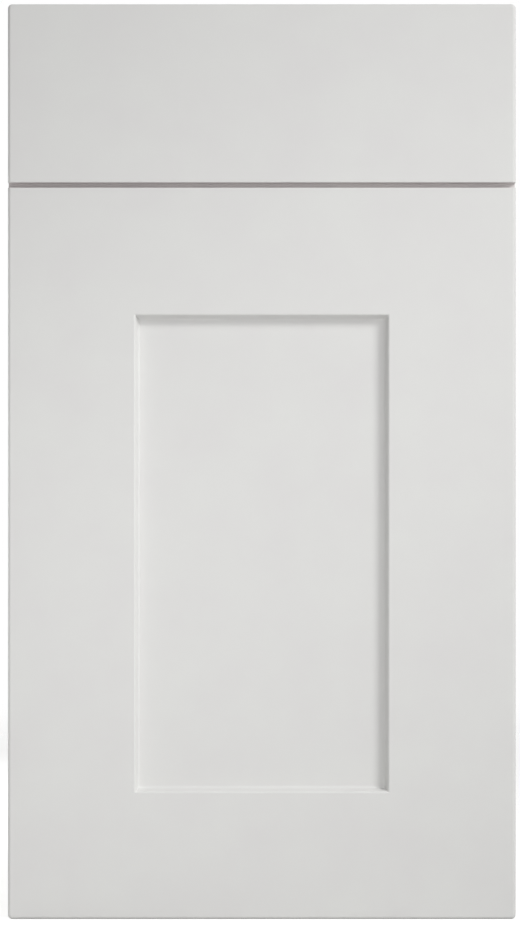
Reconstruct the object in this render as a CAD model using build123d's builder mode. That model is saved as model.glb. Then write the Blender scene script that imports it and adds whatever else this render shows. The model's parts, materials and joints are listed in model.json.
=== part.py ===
"""A kitchen cabinet door routed from one board: a plain band, a drawer line and a sunk panel.

Sizes are in millimetres. X runs across the door, Y through its thickness with the front
towards -Y, and Z runs up. The origin is at the middle of the bottom edge, half way through
the thickness.
"""

import os
from math import asin, atan2, degrees, hypot

from build123d import *

# Board
door_width = 397.0
door_height = 715.0
board_thickness = 18.0
corner_radius = 3.5
front_edge_radius = 2.5

# Drawer line: a groove right across the front that parts the plain band from the field below
band_height = 139.5
line_width = 4.0
line_depth = 9.0
line_lip_radius = 0.7
line_root_radius = 1.0

# Sunk panel in the field below the line, with the same face width on all four sides of it
frame_width = 98.4
panel_sink = 8.5
wall_width = 5.0
recess_lip_radius = 1.6
recess_root_radius = 2.0

# Hinge cups, bored into the back beside the left edge as seen from the front
cup_radius = 17.5
cup_depth = 13.0
cup_to_edge = 22.5
cup_to_end = 100.0

# Pilot holes for the two screws of each hinge, set further from the edge than the cup
screw_spacing = 45.0
screw_setback = 9.5
pilot_radius = 1.5
pilot_depth = 10.0

# Cutters run this far past what they cut
overshoot = 2.0

# Places that follow from the sizes
front_y = -board_thickness / 2
back_y = board_thickness / 2
line_z = door_height - band_height - line_width / 2
field_height = door_height - band_height - line_width
recess_width = door_width - 2 * frame_width
recess_height = field_height - 2 * frame_width
cup_x = cup_to_edge - door_width / 2
cup_heights = (cup_to_end, door_height - cup_to_end)


def groove_section(width, depth, lip_radius, root_radius):
    """Section of a straight groove, from the face at y = 0 down to its floor.

    Both lips are rounded over into the face, and both corners of the floor are eased.
    """
    half = width / 2
    with BuildSketch() as section:
        with BuildLine():
            Line((0, -depth), (half - root_radius, -depth))
            RadiusArc((half - root_radius, -depth), (half, root_radius - depth), -root_radius)
            Line((half, root_radius - depth), (half, -lip_radius))
            RadiusArc((half, -lip_radius), (half + lip_radius, 0), lip_radius)
            Line((half + lip_radius, 0), (half + lip_radius, overshoot))
            Line((half + lip_radius, overshoot), (0, overshoot))
            mirror(about=Plane.YZ)
        make_face()
    return section.sketch


def recess_section(width):
    """Section of the sunk panel's hollow, width wide where its lips meet the face at y = 0.

    Each wall is a straight slope between two arcs, a rounded lip and an eased root, that
    touch the face and the floor. The slope's angle is where both arcs and the straight
    between them add up to the wall's width and to the panel's depth below the face.
    """
    rounding = recess_lip_radius + recess_root_radius
    drop = panel_sink - rounding
    slope = degrees(atan2(drop, wall_width) + asin(rounding / hypot(wall_width, drop)))
    floor_end = width / 2 - wall_width
    with BuildSketch() as section:
        with BuildLine():
            Line((0, -panel_sink), (floor_end, -panel_sink))
            root_centre = (floor_end, recess_root_radius - panel_sink)
            root = CenterArc(root_centre, recess_root_radius, -90, slope)
            lip_centre = (width / 2, -recess_lip_radius)
            lip = CenterArc(lip_centre, recess_lip_radius, 90 + slope, -slope)
            Line(root @ 1, lip @ 0)
            Line((width / 2, 0), (width / 2, overshoot))
            Line((width / 2, overshoot), (0, overshoot))
            mirror(about=Plane.YZ)
        make_face()
    return section.sketch


# The hollow above the sunk panel is what an upright channel and a level one have in common,
# so that its sloped walls meet in mitres at the four corners.
recess_centre = (0, front_y, field_height / 2)
across = Plane(origin=recess_centre, x_dir=(1, 0, 0), z_dir=(0, 0, -1))
upright = Plane(origin=recess_centre, x_dir=(0, 0, 1), z_dir=(1, 0, 0))
with BuildPart() as hollow:
    with BuildSketch(across):
        add(recess_section(recess_width))
    extrude(amount=recess_height / 2 + overshoot, both=True)
    with BuildSketch(upright):
        add(recess_section(recess_height))
    extrude(amount=recess_width / 2 + overshoot, both=True, mode=Mode.INTERSECT)

# The board, rounded at its corners and round its front, with all that is cut into it
outline_plane = Plane(origin=(0, back_y, door_height / 2), x_dir=(1, 0, 0), z_dir=(0, -1, 0))
line_plane = Plane(origin=(0, front_y, line_z), x_dir=(0, 0, 1), z_dir=(1, 0, 0))
back_plane = Plane(origin=(cup_x, back_y, 0), x_dir=(0, 0, 1), z_dir=(0, 1, 0))
with BuildPart() as door:
    with BuildSketch(outline_plane):
        RectangleRounded(door_width, door_height, corner_radius)
    extrude(amount=board_thickness)
    fillet(door.faces().sort_by(Axis.Y)[0].edges(), front_edge_radius)
    add(hollow.part, mode=Mode.SUBTRACT)
    with BuildSketch(line_plane):
        add(groove_section(line_width, line_depth, line_lip_radius, line_root_radius))
    extrude(amount=door_width / 2 + overshoot, both=True, mode=Mode.SUBTRACT)
    for cup_z in cup_heights:
        with Locations(back_plane):
            with Locations((cup_z, 0)):
                Hole(cup_radius, cup_depth)
            with Locations((cup_z, screw_setback)):
                with GridLocations(screw_spacing, 0, 2, 1):
                    Hole(pilot_radius, pilot_depth)

os.makedirs("parts", exist_ok=True)
door.part.label = "cabinet_door"
export_step(door.part, "parts/cabinet_door.step")
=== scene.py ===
# %% [markdown]
# # A kitchen cabinet door in matt light grey
#
# The real door is one board of fibreboard. A router has rounded its front edges, cut a
# groove right across it that looks like the gap under a drawer, and sunk a flat panel into
# the field below, with sloped walls that meet in mitres. A matt plastic film is then drawn
# over the front and the edges, and the back keeps the white facing of the raw board.
#
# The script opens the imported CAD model, builds a finer skin of the same sizes, gives each
# surface its finish, and sets up the floor, the lights and the camera. Blender works in
# metres here, in the CAD model's own frame: X across, Z up, and the front faces -Y.

import json
from math import asin, atan2, hypot, pi, radians, tan

import bmesh
import bpy
import numpy as np
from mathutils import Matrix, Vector
from mathutils.geometry import delaunay_2d_cdt


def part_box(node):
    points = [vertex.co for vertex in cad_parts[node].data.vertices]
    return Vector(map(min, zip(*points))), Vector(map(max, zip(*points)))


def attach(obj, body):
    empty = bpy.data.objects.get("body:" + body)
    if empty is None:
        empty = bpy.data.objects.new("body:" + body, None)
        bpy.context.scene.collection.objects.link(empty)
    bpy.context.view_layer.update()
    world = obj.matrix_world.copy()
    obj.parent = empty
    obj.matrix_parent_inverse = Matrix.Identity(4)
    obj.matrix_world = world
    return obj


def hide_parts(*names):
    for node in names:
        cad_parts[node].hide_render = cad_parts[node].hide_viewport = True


MM = 0.001

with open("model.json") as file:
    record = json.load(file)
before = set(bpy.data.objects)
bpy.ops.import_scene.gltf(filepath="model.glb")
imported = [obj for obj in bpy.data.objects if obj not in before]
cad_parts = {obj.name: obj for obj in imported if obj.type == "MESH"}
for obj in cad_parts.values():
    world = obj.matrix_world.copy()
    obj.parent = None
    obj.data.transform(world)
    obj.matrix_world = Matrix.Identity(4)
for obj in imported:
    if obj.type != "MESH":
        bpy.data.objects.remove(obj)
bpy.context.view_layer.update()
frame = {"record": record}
low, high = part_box("cabinet_door")
width, thickness, height = (high[axis] - low[axis] for axis in range(3))
front_y, back_y = low[1], high[1]
print(f"door {width / MM:.1f} x {height / MM:.1f} x {thickness / MM:.1f} mm")

# %% [markdown]
# ## The sizes of what is cut into the board
#
# The overall size comes from the CAD model, and the hinge cups and screw holes from the
# mounts in its record. The rest is written here once, in metres: one value for each size
# that a cutter sets, as in the CAD source.

# %% Name the sizes
corner_radius = 3.5 * MM
front_edge_radius = 2.5 * MM

band_height = 139.5 * MM
line_width = 4.0 * MM
line_depth = 9.0 * MM
line_lip_radius = 0.7 * MM
line_root_radius = 1.0 * MM

frame_width = 98.4 * MM
panel_sink = 8.5 * MM
wall_width = 5.0 * MM
recess_lip_radius = 1.6 * MM
recess_root_radius = 2.0 * MM

pilot_depth = 10.0 * MM
film_edge = 0.4 * MM  # the film's thickness, which shows as a thin rim round the back
support = 0.3 * MM  # a flat strip beside each rounding, so that its shading ends there

field_top = height - band_height - line_width
line_z = field_top + line_width / 2
mounts = {mount["name"]: mount for mount in frame["record"]["mounts"]}
cups = [mounts["hinge_cup_lower"], mounts["hinge_cup_upper"]]
screw_pairs = [mounts["hinge_screws_lower"], mounts["hinge_screws_upper"]]
print("hinge cups at", [[round(value / MM, 1) for value in cup["pos_m"]] for cup in cups])

# %% [markdown]
# ## Profiles made of arcs
#
# Every rounding on the door is an arc that a cutter leaves, so all profiles come from one
# helper. A profile is a list of points, each with a distance across the face and a depth
# below it. Steps of about seven degrees look round once the shading is smooth.

# %% Draw the profiles
ARC_STEP = radians(7.5)


def arc(radius, start, stop):
    """Sines and cosines times radius, from angle start to angle stop, in even steps."""
    count = max(2, int(np.ceil(abs(stop - start) / ARC_STEP)) + 1)
    angle = np.linspace(start, stop, count)
    return radius * np.sin(angle), radius * np.cos(angle)


def recess_profile():
    """Wall of the sunk panel: distance in from its edge, and depth below the face.

    A lip's arc turns down from the face, a straight slope follows, and a root's arc turns
    back to the floor. With r the sum of the two radii, w the wall's width and d the depth,
    the slope's angle is atan((d - r) / w) + asin(r / hypot(w, d - r)).
    """
    rounding = recess_lip_radius + recess_root_radius
    drop = panel_sink - rounding
    slope = atan2(drop, wall_width) + asin(rounding / hypot(wall_width, drop))
    lip_sine, lip_cosine = arc(recess_lip_radius, 0, slope)
    root_sine, root_cosine = arc(recess_root_radius, slope, 0)
    across = np.append(lip_sine, wall_width - root_sine)
    root_depth = panel_sink - recess_root_radius + root_cosine
    return across, np.append(recess_lip_radius - lip_cosine, root_depth)


def groove_profile():
    """Section of the drawer line: distance from its middle line, and depth below the face.

    From the lower lip's start over the lip's quarter arc, straight down the wall, round the
    root's quarter arc to the floor, and the same again in reverse up the other side.
    """
    half = line_width / 2
    lip_sine, lip_cosine = arc(line_lip_radius, 0, pi / 2)
    root_sine, root_cosine = arc(line_root_radius, 0, pi / 2)
    lip, root = half + line_lip_radius - lip_sine, half - line_root_radius + root_cosine
    from_middle = np.append(lip, root)
    depth = np.append(line_lip_radius - lip_cosine, line_depth - line_root_radius + root_sine)
    return np.append(-from_middle, from_middle[::-1]), np.append(depth, depth[::-1])


def edge_profile():
    """Outer edge: distance out from the corner arcs' centres, and depth below the face.

    Flat to where the rounding starts, a quarter arc to the side, straight back to the white
    facing, and in again by the film's thickness. The side stops at the groove's root and at
    its floor, so that the groove's own points have partners there.
    """
    flat = corner_radius - front_edge_radius
    sine, cosine = arc(front_edge_radius, 0, pi / 2)
    side_out = [corner_radius, corner_radius, corner_radius, corner_radius - film_edge]
    side_depth = [line_depth - line_root_radius, line_depth, thickness, thickness]
    out = np.concatenate([[0, flat - support], flat + sine, side_out])
    return out, np.concatenate([[0, 0], front_edge_radius - cosine, side_depth])


print("points in the recess, groove and edge profiles:",
      [len(profile()[0]) for profile in (recess_profile, groove_profile, edge_profile)])

# %% [markdown]
# ## The front as one grid
#
# The front could be cut with booleans, but they leave long thin faces that shade badly.
# Here the whole face is one grid instead. Its columns stand where the upright walls of the
# sunk panel need them, and its rows where the level walls and the groove do. At each
# crossing the depth is the shallower of the column's and the row's share of the recess, and
# that minimum is what makes the mitres. The groove is then laid over it as a maximum.

# %% Lay out the columns and rows
inner_x = width / 2 - corner_radius
recess_x = width / 2 - frame_width
wall_across, wall_depth = recess_profile()
groove_across, groove_depth = groove_profile()


def lines_with_recess(first, recess_low, recess_high, last):
    """Lines from first to last, with the recess between them: places and recess depths."""
    places = np.concatenate([
        [first, recess_low - support],
        recess_low + wall_across,
        [recess_low + wall_width + support, recess_high - wall_width - support],
        recess_high - wall_across[::-1],
        [recess_high + support, last],
    ])
    flat, floor = np.zeros(2), np.full(2, panel_sink)
    return places, np.concatenate([flat, wall_depth, floor, wall_depth[::-1], flat])


column_x, column_sink = lines_with_recess(-inner_x, -recess_x, recess_x, inner_x)
groove_low = line_z - line_width / 2 - line_lip_radius
groove_high = line_z + line_width / 2 + line_lip_radius
field_z, field_sink = lines_with_recess(
    corner_radius, frame_width, field_top - frame_width, groove_low - support
)
above_z = np.array([groove_high + support, height - corner_radius])
row_z = np.concatenate([field_z, line_z + groove_across, above_z])
row_sink = np.concatenate([field_sink, np.zeros(len(groove_across) + len(above_z))])
row_groove = np.concatenate([np.zeros(len(field_z)), groove_depth, np.zeros(len(above_z))])
front_depth = np.maximum(np.minimum(column_sink, row_sink[:, None]), row_groove[:, None])
print("grid of", len(row_z), "rows by", len(column_x), "columns, deepest",
      round(front_depth.max() / MM, 2), "mm")

# %% [markdown]
# ## Faces for grids
#
# Four neighbouring points make a face. Where a mitre crosses a cell its corners don't lie in
# one plane, and the cell is cut in two along the crease. The crease ends at the corner whose
# depth differs from the other three.

# %% Make faces from grids
FLAT_WITHIN = 1e-6 * MM


def grid_faces(rows, columns, wrap=False):
    """Corner numbers of each cell of a grid, in order round the cell, row by row."""
    number = np.arange(rows * columns).reshape(rows, columns)
    if wrap:
        number = np.column_stack([number, number[:, 0]])
    corners = [number[:-1, :-1], number[:-1, 1:], number[1:, 1:], number[1:, :-1]]
    return np.stack(corners, axis=-1).reshape(-1, 4)


def split_creased(quads, depth):
    """Cuts the cells whose corners aren't in one plane along their crease, as triangles.

    A rectangular cell is flat where its corner depths, taken round it with alternating
    signs, add up to nothing. Each cell that isn't flat starts at its odd corner.
    """
    d = depth.ravel()[quads]
    twist = d[:, 0] - d[:, 1] + d[:, 2] - d[:, 3]
    creased = np.abs(twist) > FLAT_WITHIN
    odd = np.abs(d - np.median(d, axis=1, keepdims=True)).argmax(axis=1)
    order = (odd[creased][:, None] + np.arange(4)) % 4
    cells = np.take_along_axis(quads[creased], order, axis=1)
    halves = np.concatenate([cells[:, [0, 1, 2]], cells[:, [0, 2, 3]]])
    return quads[~creased].tolist() + halves.tolist()


front_points = np.stack([
    np.broadcast_to(column_x, front_depth.shape),
    front_y + front_depth,
    np.broadcast_to(row_z[:, None], front_depth.shape),
], axis=-1).reshape(-1, 3)
front_faces = split_creased(grid_faces(*front_depth.shape), front_depth)
print(len(front_points), "points and", len(front_faces), "faces on the front")

# %% [markdown]
# ## The edges as rings
#
# Round the grid runs the edge profile, carried along the outline. The path follows the
# grid's outer points and turns each corner about the corner arc's centre. Where the path
# crosses the groove, a point never lies shallower than the groove does there, which opens
# the groove's ends through the rounded edge and the side.

# %% Carry the edge profile round the outline
CORNER_STEPS = 10


def outline_path():
    """Points round the grid's rim, with the direction out and the groove's depth at each."""
    turn = np.linspace(0, pi / 2, CORNER_STEPS + 1)[1:-1]
    inner_low, inner_high = corner_radius, height - corner_radius
    no_groove = np.zeros_like(column_x)
    sides = [
        (column_x, inner_low, -pi / 2, no_groove),
        (inner_x, row_z, 0, row_groove),
        (column_x[::-1], inner_high, pi / 2, no_groove),
        (-inner_x, row_z[::-1], pi, row_groove[::-1]),
    ]
    stretches = []
    for x, z, heading, groove in sides:
        straight = np.broadcast_arrays(x, z, heading, groove)
        corner = np.broadcast_arrays(straight[0][-1], straight[1][-1], heading + turn, 0.0)
        stretches += [np.stack(straight), np.stack(corner)]
    return np.concatenate(stretches, axis=1)


path_x, path_z, path_heading, path_groove = outline_path()
edge_out, edge_depth = edge_profile()
ring_depth = np.maximum(edge_depth[:, None], path_groove)
ring_points = np.stack([
    path_x + edge_out[:, None] * np.cos(path_heading),
    front_y + ring_depth,
    path_z + edge_out[:, None] * np.sin(path_heading),
], axis=-1).reshape(-1, 3)
ring_faces = grid_faces(len(edge_out), len(path_x), wrap=True).tolist()
print(len(ring_faces), "faces round the edges")

# %% [markdown]
# ## The hinge borings
#
# A 35 mm cutter leaves a flat-bottomed cup with a small dimple where its centre point went
# in. The screw holes are plain holes with flat ends. Both are turned shapes: a profile of
# radius and depth, carried round a circle.

# %% Turn the cups and the screw holes
CUP_STEPS, PILOT_STEPS = 96, 24
DIMPLE_RADIUS, DIMPLE_DEPTH = 1.5 * MM, 1.2 * MM


def turned(centre_x, centre_z, radii, depths, steps):
    """Points of a profile turned about a line along Y, each ring at its depth in the back.

    At angle a, a point of radius r lies at x = centre_x + r cos a, z = centre_z + r sin a.
    """
    angle = np.linspace(0, 2 * pi, steps, endpoint=False)
    radii, depths = np.asarray(radii)[:, None], np.asarray(depths)[:, None]
    x = centre_x + radii * np.cos(angle)
    z = centre_z + radii * np.sin(angle)
    return np.stack(np.broadcast_arrays(x, back_y - depths, z), axis=-1)


def borings():
    """Every cup and screw hole as rings of points, the mouth's ring first."""
    made = []
    for cup in cups:
        radius, depth = cup["dims"]["r_mm"] * MM, cup["dims"]["length_mm"] * MM
        radii = [radius, radius, DIMPLE_RADIUS, 0]
        depths = [0, depth, depth, depth + DIMPLE_DEPTH]
        made.append(turned(cup["pos_m"][0], cup["pos_m"][2], radii, depths, CUP_STEPS))
    for pair in screw_pairs:
        radius = pair["dims"]["hole_r_mm"] * MM
        radii, depths = [radius, radius, 0], [0, pilot_depth, pilot_depth]
        for side in (-1, 1):
            centre_z = pair["pos_m"][2] + side * pair["dims"]["spacing_y_mm"] / 2 * MM
            made.append(turned(pair["pos_m"][0], centre_z, radii, depths, PILOT_STEPS))
    return made


boring_rings = borings()
print(len(boring_rings), "borings")

# %% [markdown]
# ## The back
#
# The back is flat, with holes in it. A constrained triangulation fills such a face: it is
# given the outer loop and the loops of the holes, and returns the triangles between them.

# %% Fill the back between its outline and the borings
SAME_POINT = 1e-4 * MM
INSIDE_LOOPS = 1  # the triangulation's number for "only what the outer loop encloses"
FILL_TOLERANCE = 1e-5  # in millimetres, as the points are


def without_repeats(loop):
    """The loop's points without those that lie on the point before."""
    step = np.linalg.norm(loop - np.roll(loop, 1, axis=0), axis=1)
    return loop[step > SAME_POINT]


def fill_back(loops):
    """Triangles between the outer loop and the holes, worked out in millimetres.

    The triangulation covers the holes too, so the triangles whose middle lies nearer to a
    hole's centre than its rim does are left out.
    """
    flat = [Vector(point) for loop in loops for point in loop[:, [0, 2]] / MM]
    edges = []
    for loop in loops:
        first = len(edges)
        edges += [(first + i, first + (i + 1) % len(loop)) for i in range(len(loop))]
    filled = delaunay_2d_cdt(flat, edges, [], INSIDE_LOOPS, FILL_TOLERANCE)
    points = np.array([(point.x * MM, back_y, point.y * MM) for point in filled[0]])
    triangles = np.array(filled[2])
    middles = points[triangles].mean(axis=1)
    kept = np.ones(len(triangles), bool)
    for hole in loops[1:]:
        centre = hole.mean(axis=0)
        kept &= np.linalg.norm(middles - centre, axis=1) > np.linalg.norm(hole[0] - centre)
    return points, triangles[kept].tolist()


rim_loop = without_repeats(ring_points[-len(path_x):])
back_points, back_faces = fill_back([rim_loop] + [rings[0] for rings in boring_rings])
print(len(back_faces), "triangles on the back")

# %% [markdown]
# ## One closed skin
#
# The patches share their border points, so joining points that coincide closes the skin.
# Each face also gets a number for its finish: film, white facing or bare fibreboard. Faces
# that meet at a small angle are shaded as one rounding, and sharper edges stay sharp.

# %% Join the patches into the door's skin
# The fourth finish is the groove's film, with a painted tint for the warm shade in the groove.
FILM, FACING, BARE, GROOVE_TINT = range(4)
WELD_WITHIN = 1e-3 * MM
SHARP_FROM = radians(25)


def join_patches(patches):
    """Stacks (points, faces, finish) patches into one list of points, faces and finishes."""
    points, faces, finishes = [], [], []
    for patch_points, patch_faces, finish in patches:
        first = sum(len(part) for part in points)
        points.append(patch_points)
        faces += [[first + corner for corner in face] for face in patch_faces]
        finishes += [finish] * len(patch_faces)
    return np.concatenate(points), faces, finishes


def build_skin(name, patches):
    """Makes the mesh, welds its borders, turns its faces outwards and smooths its arcs."""
    points, faces, finishes = join_patches(patches)
    mesh = bpy.data.meshes.new(name)
    mesh.from_pydata(points.tolist(), [], faces)
    mesh.polygons.foreach_set("material_index", finishes)
    shape = bmesh.new()
    shape.from_mesh(mesh)
    bmesh.ops.remove_doubles(shape, verts=shape.verts, dist=WELD_WITHIN)
    bmesh.ops.recalc_face_normals(shape, faces=shape.faces)
    print("open edges:", sum(not edge.is_manifold for edge in shape.edges))
    smallest = min(face.calc_area() for face in shape.faces)
    print(f"volume {shape.calc_volume() / (10 * MM) ** 3:.1f} cubic cm,",
          f"smallest face {smallest / MM ** 2:.5f} square mm")
    shape.to_mesh(mesh)
    shape.free()
    mesh.shade_smooth()
    mesh.set_sharp_from_angle(angle=SHARP_FROM)
    skin = bpy.data.objects.new(name, mesh)
    bpy.context.scene.collection.objects.link(skin)
    return skin


patches = [(front_points, front_faces, FILM), (ring_points, ring_faces, FILM)]
patches.append((back_points, back_faces, FACING))
for rings in boring_rings:
    cells = grid_faces(*rings.shape[:2], wrap=True).tolist()
    patches.append((rings.reshape(-1, 3), cells, BARE))
door = build_skin("door_board", patches)
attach(door, "root")
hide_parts("cabinet_door")
print(len(door.data.polygons), "faces in the skin")

# %% [markdown]
# ## The groove's painted tint
#
# The film inside the narrow, deep groove gets a finish of its own: a browner grey, a
# painted tint for the warm cast of the shade there. Its faces could be picked by hand, but
# the groove's sizes say where they are, and that still holds when the sizes change.

# %% Mark the faces inside the groove
def inside_groove(mesh, slack=0.01 * MM):
    """True for faces whose middle is between the groove's walls, below its lips.

    The floor's depth is the limit the other way, because the board's side goes on past it.
    """
    middles = np.empty(3 * len(mesh.polygons))
    mesh.polygons.foreach_get("center", middles)
    _, y, z = middles.reshape(-1, 3).T
    depth = y - front_y
    between_walls = np.abs(z - line_z) < line_width / 2 + slack
    return between_walls & (depth > line_lip_radius) & (depth < line_depth + slack)


finish_numbers = np.empty(len(door.data.polygons), dtype=np.int32)
door.data.polygons.foreach_get("material_index", finish_numbers)
# The groove's faces take the film with the painted tint for the warm shade in the groove.
finish_numbers[inside_groove(door.data)] = GROOVE_TINT
door.data.polygons.foreach_set("material_index", finish_numbers)
print(np.count_nonzero(finish_numbers == GROOVE_TINT), "faces inside the groove")

# %% [markdown]
# ## Helpers for finishes
#
# A finish is a small network of nodes. Colours are written as they look on a screen, in
# sRGB, and one function turns them into the linear values that light is worked out in. One
# more function adds a node with its settings and its links. Patterns are sized in
# millimetres, and most values of a noise pattern lie between 0.3 and 0.7.

# %% Define the helpers for finishes
NOISE_LOW, NOISE_HIGH = 0.3, 0.7


def linear(hex_colour):
    """An sRGB hex colour as linear RGBA: the standard curve, undone for each channel."""
    srgb = np.array([int(hex_colour[i:i + 2], 16) for i in (1, 3, 5)]) / 255
    value = np.where(srgb <= 0.04045, srgb / 12.92, ((srgb + 0.055) / 1.055) ** 2.4)
    return (*value.tolist(), 1.0)


def add_node(owner, kind, inputs=None, **settings):
    """Adds a node to a material or a world, and returns it.

    Inputs are values, or sockets to link, by the input's name or number.
    """
    tree = owner.node_tree
    node = tree.nodes.new("ShaderNode" + kind)
    for name, value in settings.items():
        setattr(node, name, value)
    for name, value in (inputs or {}).items():
        if isinstance(value, bpy.types.NodeSocket):
            tree.links.new(value, node.inputs[name])
        else:
            node.inputs[name].default_value = value
    return node


def new_material(name):
    """A node material with nothing in it yet."""
    material = bpy.data.materials.new(name)
    material.use_nodes = True
    material.node_tree.nodes.clear()
    return material


def per_metre(feature_mm):
    """The scale of a noise or cell texture whose features are feature_mm apart."""
    return 1 / (feature_mm * MM)


# %% [markdown]
# ## Matt film
#
# The film is soft PVC, about 0.4 mm thick, drawn over the routed board by heat and vacuum. It
# is embossed with a very fine matt grain, and it takes over a trace of the fibreboard below
# as a gentle ripple. So the surface is nearly flat in colour, breaks up highlights, and is a
# little smoother in some places than in others. Inside the groove the film gets a browner
# grey, a painted tint for the warm cast of the shade there, so the finish takes its pair of
# greys as inputs and is made twice.

# %% Make the matt film
MOTTLE_MM, RIPPLE_MM = 45, 4
GRAIN_MM = 0.5  # coarser than the real grain, which wouldn't show even from close by


def matt_film(name, darker, lighter):
    """Light grey film: fine grain and a faint ripple as bump, slight mottling, matt gloss."""
    material = new_material(name)
    place = add_node(material, "TexCoord").outputs["Object"]
    mottle = add_node(material, "TexNoise", {
        "Vector": place, "Scale": per_metre(MOTTLE_MM), "Detail": 3.0,
    })
    grain = add_node(material, "TexNoise", {
        "Vector": place, "Scale": per_metre(GRAIN_MM), "Detail": 2.0,
    })
    ripple = add_node(material, "TexNoise", {
        "Vector": place, "Scale": per_metre(RIPPLE_MM), "Detail": 2.0,
    })
    colour = add_node(material, "ValToRGB", {"Fac": mottle.outputs["Fac"]})
    colour.color_ramp.elements[0].position = NOISE_LOW
    colour.color_ramp.elements[0].color = linear(darker)
    colour.color_ramp.elements[1].position = NOISE_HIGH
    colour.color_ramp.elements[1].color = linear(lighter)
    gloss = add_node(material, "MapRange", {
        "Value": ripple.outputs["Fac"], "From Min": NOISE_LOW, "From Max": NOISE_HIGH,
        "To Min": 0.50, "To Max": 0.58,
    })
    rippled = add_node(material, "Bump", {
        "Height": ripple.outputs["Fac"], "Distance": 0.006 * MM, "Strength": 1.0,
    })
    grained = add_node(material, "Bump", {
        "Height": grain.outputs["Fac"], "Distance": 0.004 * MM, "Strength": 1.0,
        "Normal": rippled.outputs["Normal"],
    })
    surface = add_node(material, "BsdfPrincipled", {
        "Base Color": colour.outputs["Color"], "Roughness": gloss.outputs["Result"],
        "IOR": 1.52, "Specular IOR Level": 0.4, "Normal": grained.outputs["Normal"],
    })
    add_node(material, "OutputMaterial", {"Surface": surface.outputs["BSDF"]})
    return material


whole_film = matt_film("matt_pvc_film", "#DAD9D8", "#DCDCDA")
# The groove's film: a browner grey, painted tint for the warm cast of the shade in the groove.
groove_tint_film = matt_film("pvc_film_painted_groove_tint", "#DCD7D7", "#DEDAD9")
print("films:", whole_film.name, groove_tint_film.name)

# %% [markdown]
# ## White facing
#
# The back of the raw board is faced with melamine paper, pressed against an embossed plate.
# That leaves a close pearl pattern, whiter and a little glossier than the film.

# %% Make the white facing
PEARL_MM, CLOUD_MM = 1.6, 60


def white_facing():
    """White melamine: pearl emboss as bump, even colour, a soft sheen."""
    material = new_material("white_melamine_facing")
    place = add_node(material, "TexCoord").outputs["Object"]
    pearl = add_node(material, "TexVoronoi", {"Vector": place, "Scale": per_metre(PEARL_MM)},
                     feature="SMOOTH_F1")
    cloud = add_node(material, "TexNoise", {"Vector": place, "Scale": per_metre(CLOUD_MM)})
    colour = add_node(material, "ValToRGB", {"Fac": cloud.outputs["Fac"]})
    colour.color_ramp.elements[0].color = linear("#ECEBE7")
    colour.color_ramp.elements[1].color = linear("#F1F0ED")
    embossed = add_node(material, "Bump", {
        "Height": pearl.outputs["Distance"], "Distance": 0.05 * MM, "Strength": 0.5,
    })
    surface = add_node(material, "BsdfPrincipled", {
        "Base Color": colour.outputs["Color"], "Roughness": 0.42,
        "Normal": embossed.outputs["Normal"],
    })
    add_node(material, "OutputMaterial", {"Surface": surface.outputs["BSDF"]})
    return material


# %% [markdown]
# ## Bare fibreboard
#
# Inside the borings the board itself shows: pressed wood fibre, light brown and dull, with
# fine fibres and the rings that the cutter's edge leaves on a cup's floor. One pattern of
# rings serves both cups, because they lie at equal distances from the door's middle: the
# height is measured from the middle and its sign dropped. A wave texture makes a ring every
# 2 pi / 20 of its own units, which gives the scale for a ring every 6.283 mm.

# %% Make the bare fibreboard
FIBRE_MM, RING_MM = 0.7, 6.283
WAVE_LENGTH = 2 * pi / 20


def bare_fibreboard():
    """Brown fibre with fine mottling, and cutter rings about each cup's axis as bump."""
    material = new_material("bare_fibreboard")
    place = add_node(material, "TexCoord").outputs["Object"]
    cup_x, cup_low, cup_high = cups[0]["pos_m"][0], cups[0]["pos_m"][2], cups[1]["pos_m"][2]
    middle = (cup_low + cup_high) / 2
    fibre = add_node(material, "TexNoise", {
        "Vector": place, "Scale": per_metre(FIBRE_MM), "Detail": 6.0,
    })
    colour = add_node(material, "ValToRGB", {"Fac": fibre.outputs["Fac"]})
    colour.color_ramp.elements[0].position = NOISE_LOW
    colour.color_ramp.elements[0].color = linear("#94714B")
    colour.color_ramp.elements[1].position = NOISE_HIGH
    colour.color_ramp.elements[1].color = linear("#B99A70")
    centred = add_node(material, "Mapping", {
        "Vector": place, "Location": (-cup_x, 0, -middle),
    })
    folded = add_node(material, "VectorMath", {0: centred.outputs["Vector"]},
                      operation="ABSOLUTE")
    on_axis = add_node(material, "Mapping", {
        "Vector": folded.outputs["Vector"], "Location": (0, 0, middle - cup_high),
    })
    rings = add_node(material, "TexWave", {
        "Vector": on_axis.outputs["Vector"], "Scale": WAVE_LENGTH * per_metre(RING_MM),
        "Distortion": 0.4,
    }, wave_type="RINGS", rings_direction="Y")
    ringed = add_node(material, "Bump", {
        "Height": rings.outputs["Fac"], "Distance": 0.05 * MM, "Strength": 0.6,
    })
    rough = add_node(material, "Bump", {
        "Height": fibre.outputs["Fac"], "Distance": 0.15 * MM, "Strength": 0.7,
        "Normal": ringed.outputs["Normal"],
    })
    surface = add_node(material, "BsdfPrincipled", {
        "Base Color": colour.outputs["Color"], "Roughness": 0.9, "Specular IOR Level": 0.2,
        "Normal": rough.outputs["Normal"],
    })
    add_node(material, "OutputMaterial", {"Surface": surface.outputs["BSDF"]})
    return material


# %% [markdown]
# ## The finishes on the door
#
# One mesh can carry several materials: each face holds the number of one of the mesh's
# slots. The slots are filled here in the order of the numbers that the faces were given.

# %% Put the finishes on the door
finishes = {
    FILM: whole_film, FACING: white_facing(), BARE: bare_fibreboard(), GROOVE_TINT: groove_tint_film,
}
for number in sorted(finishes):
    door.data.materials.append(finishes[number])
print("finishes:", [finish.name for finish in door.data.materials])

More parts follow.
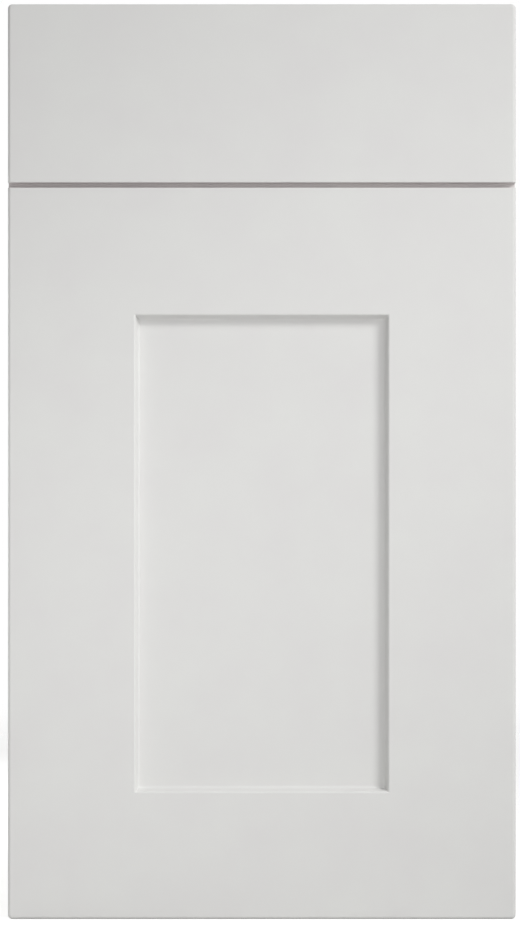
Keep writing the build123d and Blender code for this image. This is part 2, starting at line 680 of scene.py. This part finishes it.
# %% [markdown]
# ## Floor
#
# The door stands on a pale floor, which takes its shadow. A square floor would show its
# edge, so this one is round and fades out towards its rim, and no horizon crosses the
# picture. The camera sees it a little lighter than it is, so that it reaches the white of
# the ground without more light on the door.

# %% Lay the floor
FLOOR_RADIUS = 1.9
FLOOR_SIDES = 96
FADE_START = 0.3  # as a share of the floor's radius
CAMERA_LIFT = 0.52


def floor_material():
    """Pale matt floor that the camera sees a little lighter, and that fades at its rim."""
    material = new_material("pale_floor")
    place = add_node(material, "TexCoord").outputs["Object"]
    reach = add_node(material, "VectorMath", {0: place}, operation="LENGTH")
    fade = add_node(material, "MapRange", {
        "Value": reach.outputs["Value"], "From Min": FADE_START * FLOOR_RADIUS,
        "From Max": FLOOR_RADIUS, "To Min": 0.0, "To Max": 1.0,
    }, interpolation_type="SMOOTHSTEP")
    rays = add_node(material, "LightPath")
    matt = add_node(material, "BsdfDiffuse", {"Color": linear("#D9D9D8")})
    lift = add_node(material, "Math", {0: rays.outputs["Is Camera Ray"], 1: CAMERA_LIFT},
                    operation="MULTIPLY")
    glow = add_node(material, "Emission", {
        "Color": linear("#FFFFFF"), "Strength": lift.outputs[0],
    })
    lit = add_node(material, "AddShader", {
        0: matt.outputs["BSDF"], 1: glow.outputs["Emission"],
    })
    clear = add_node(material, "BsdfTransparent")
    mixed = add_node(material, "MixShader", {
        0: fade.outputs["Result"], 1: lit.outputs["Shader"], 2: clear.outputs["BSDF"],
    })
    add_node(material, "OutputMaterial", {"Surface": mixed.outputs["Shader"]})
    return material


def floor_disc():
    """One flat face with FLOOR_SIDES corners, all FLOOR_RADIUS from the origin."""
    angle = np.linspace(0, 2 * pi, FLOOR_SIDES, endpoint=False)
    rim = FLOOR_RADIUS * np.stack([np.cos(angle), np.sin(angle), np.zeros_like(angle)], axis=-1)
    mesh = bpy.data.meshes.new("floor")
    mesh.from_pydata(rim.tolist(), [], [list(range(FLOOR_SIDES))])
    return mesh


floor = bpy.data.objects.new("floor", floor_disc())
floor.data.materials.append(floor_material())
bpy.context.scene.collection.objects.link(floor)
print("floor", 2 * FLOOR_RADIUS, "m across")

# %% [markdown]
# ## White world
#
# Behind the floor's rim there is only the world. A lamp-lit white wall would throw more
# light on the door, so the world does it without one: the camera and the reflections see
# it at a strength of 1, which is white, and it sheds a much weaker, even light.

# %% Set the white world
WORLD_LIGHT = 0.25

world = bpy.data.worlds.new("white_ground")
world.use_nodes = True
bpy.context.scene.world = world
world.node_tree.nodes.clear()
world_rays = add_node(world, "LightPath")
seen = add_node(world, "Math", {
    0: world_rays.outputs["Is Camera Ray"], 1: world_rays.outputs["Is Glossy Ray"],
}, operation="MAXIMUM")
world_strength = add_node(world, "MapRange", {
    "Value": seen.outputs[0], "To Min": WORLD_LIGHT, "To Max": 1.0,
})
world_glow = add_node(world, "Background", {
    "Color": linear("#FFFFFF"), "Strength": world_strength.outputs["Result"],
})
add_node(world, "OutputWorld", {"Surface": world_glow.outputs["Background"]})
print("world sheds", WORLD_LIGHT, "and shows 1.0")

# %% [markdown]
# ## Lights
#
# The walls of the sunk panel tell where the light comes from: the right and the upper wall
# lie in shade, and the left wall is bright. So a large key light stands far off in front, to
# the right and above, and gives two fifths of the light on the face. A fifth is even light
# from the world. Two small reflectors close to the door, up on the right and down on the
# left, give the rest, with a faint bright ridge across the door between two duller corners.
# A third reflector stands beside the door, just behind its face, and keeps the rounded left
# edge from going dark. The last light stands behind, for the back. Lights face the door's
# middle, and the camera doesn't see them.

# %% Place the lights
CENTRE = Vector((0, front_y, height / 2))
KEY_DISTANCE = 4.0
KEY_RIGHT, KEY_UP = radians(49), radians(45)


def area_light(name, place, size, watts):
    """A square area light at place, facing the door's middle."""
    data = bpy.data.lights.new(name, "AREA")
    data.shape, data.size, data.energy = "SQUARE", size, watts
    light = bpy.data.objects.new(name, data)
    light.location = place
    light.rotation_euler = (CENTRE - Vector(place)).to_track_quat("-Z", "Y").to_euler()
    light.visible_camera = False
    bpy.context.scene.collection.objects.link(light)
    print(f"{name}: {watts} W, {(CENTRE - Vector(place)).length:.2f} m from the door's middle")


towards_key = Vector((tan(KEY_RIGHT), -1, tan(KEY_UP))).normalized()
area_light("key_light", CENTRE + KEY_DISTANCE * towards_key, size=1.2, watts=98)
area_light("upper_reflector", (0.24, -0.60, 0.54), size=0.4, watts=0.84)
area_light("lower_reflector", (-0.18, -0.45, 0.28), size=0.4, watts=0.48)
area_light("side_reflector", (-0.70, 0.22, 0.36), size=0.4, watts=1.3)
area_light("back_light", (-0.70, 0.80, 0.45), size=0.6, watts=4.5)

# %% [markdown]
# ## Camera
#
# The photograph looks straight at the door's front. One pixel of it is as wide as the door
# over the 508 pixels that it fills, and the door's middle lies two pixels right of the
# picture's middle and one above it. A long lens keeps the sides out of sight. Blender fits
# the sensor to the picture's longer side, which is its height here, and that gives the
# distance at which the door fills as many pixels as in the photograph.

# %% Aim the camera
PHOTO_WIDTH, PHOTO_HEIGHT = 520, 926
DOOR_PIXELS = 508.4
DOOR_MIDDLE = (261.8, 461.6)
LENS_MM, SENSOR_MM = 100, 36
pixel = width / DOOR_PIXELS

camera_data = bpy.data.cameras.new("camera")
camera_data.lens, camera_data.sensor_width = LENS_MM, SENSOR_MM
camera = bpy.data.objects.new("camera", camera_data)
distance = PHOTO_HEIGHT * pixel * LENS_MM / SENSOR_MM
camera.location = CENTRE + Vector((
    (PHOTO_WIDTH / 2 - DOOR_MIDDLE[0]) * pixel,
    -distance,
    (DOOR_MIDDLE[1] - PHOTO_HEIGHT / 2) * pixel,
))
camera.rotation_euler = (pi / 2, 0, 0)
bpy.context.scene.collection.objects.link(camera)
bpy.context.scene.camera = camera
bpy.context.scene.view_settings.view_transform = "Standard"
print(f"camera {distance:.3f} m in front, {pixel / MM:.4f} mm to the pixel")
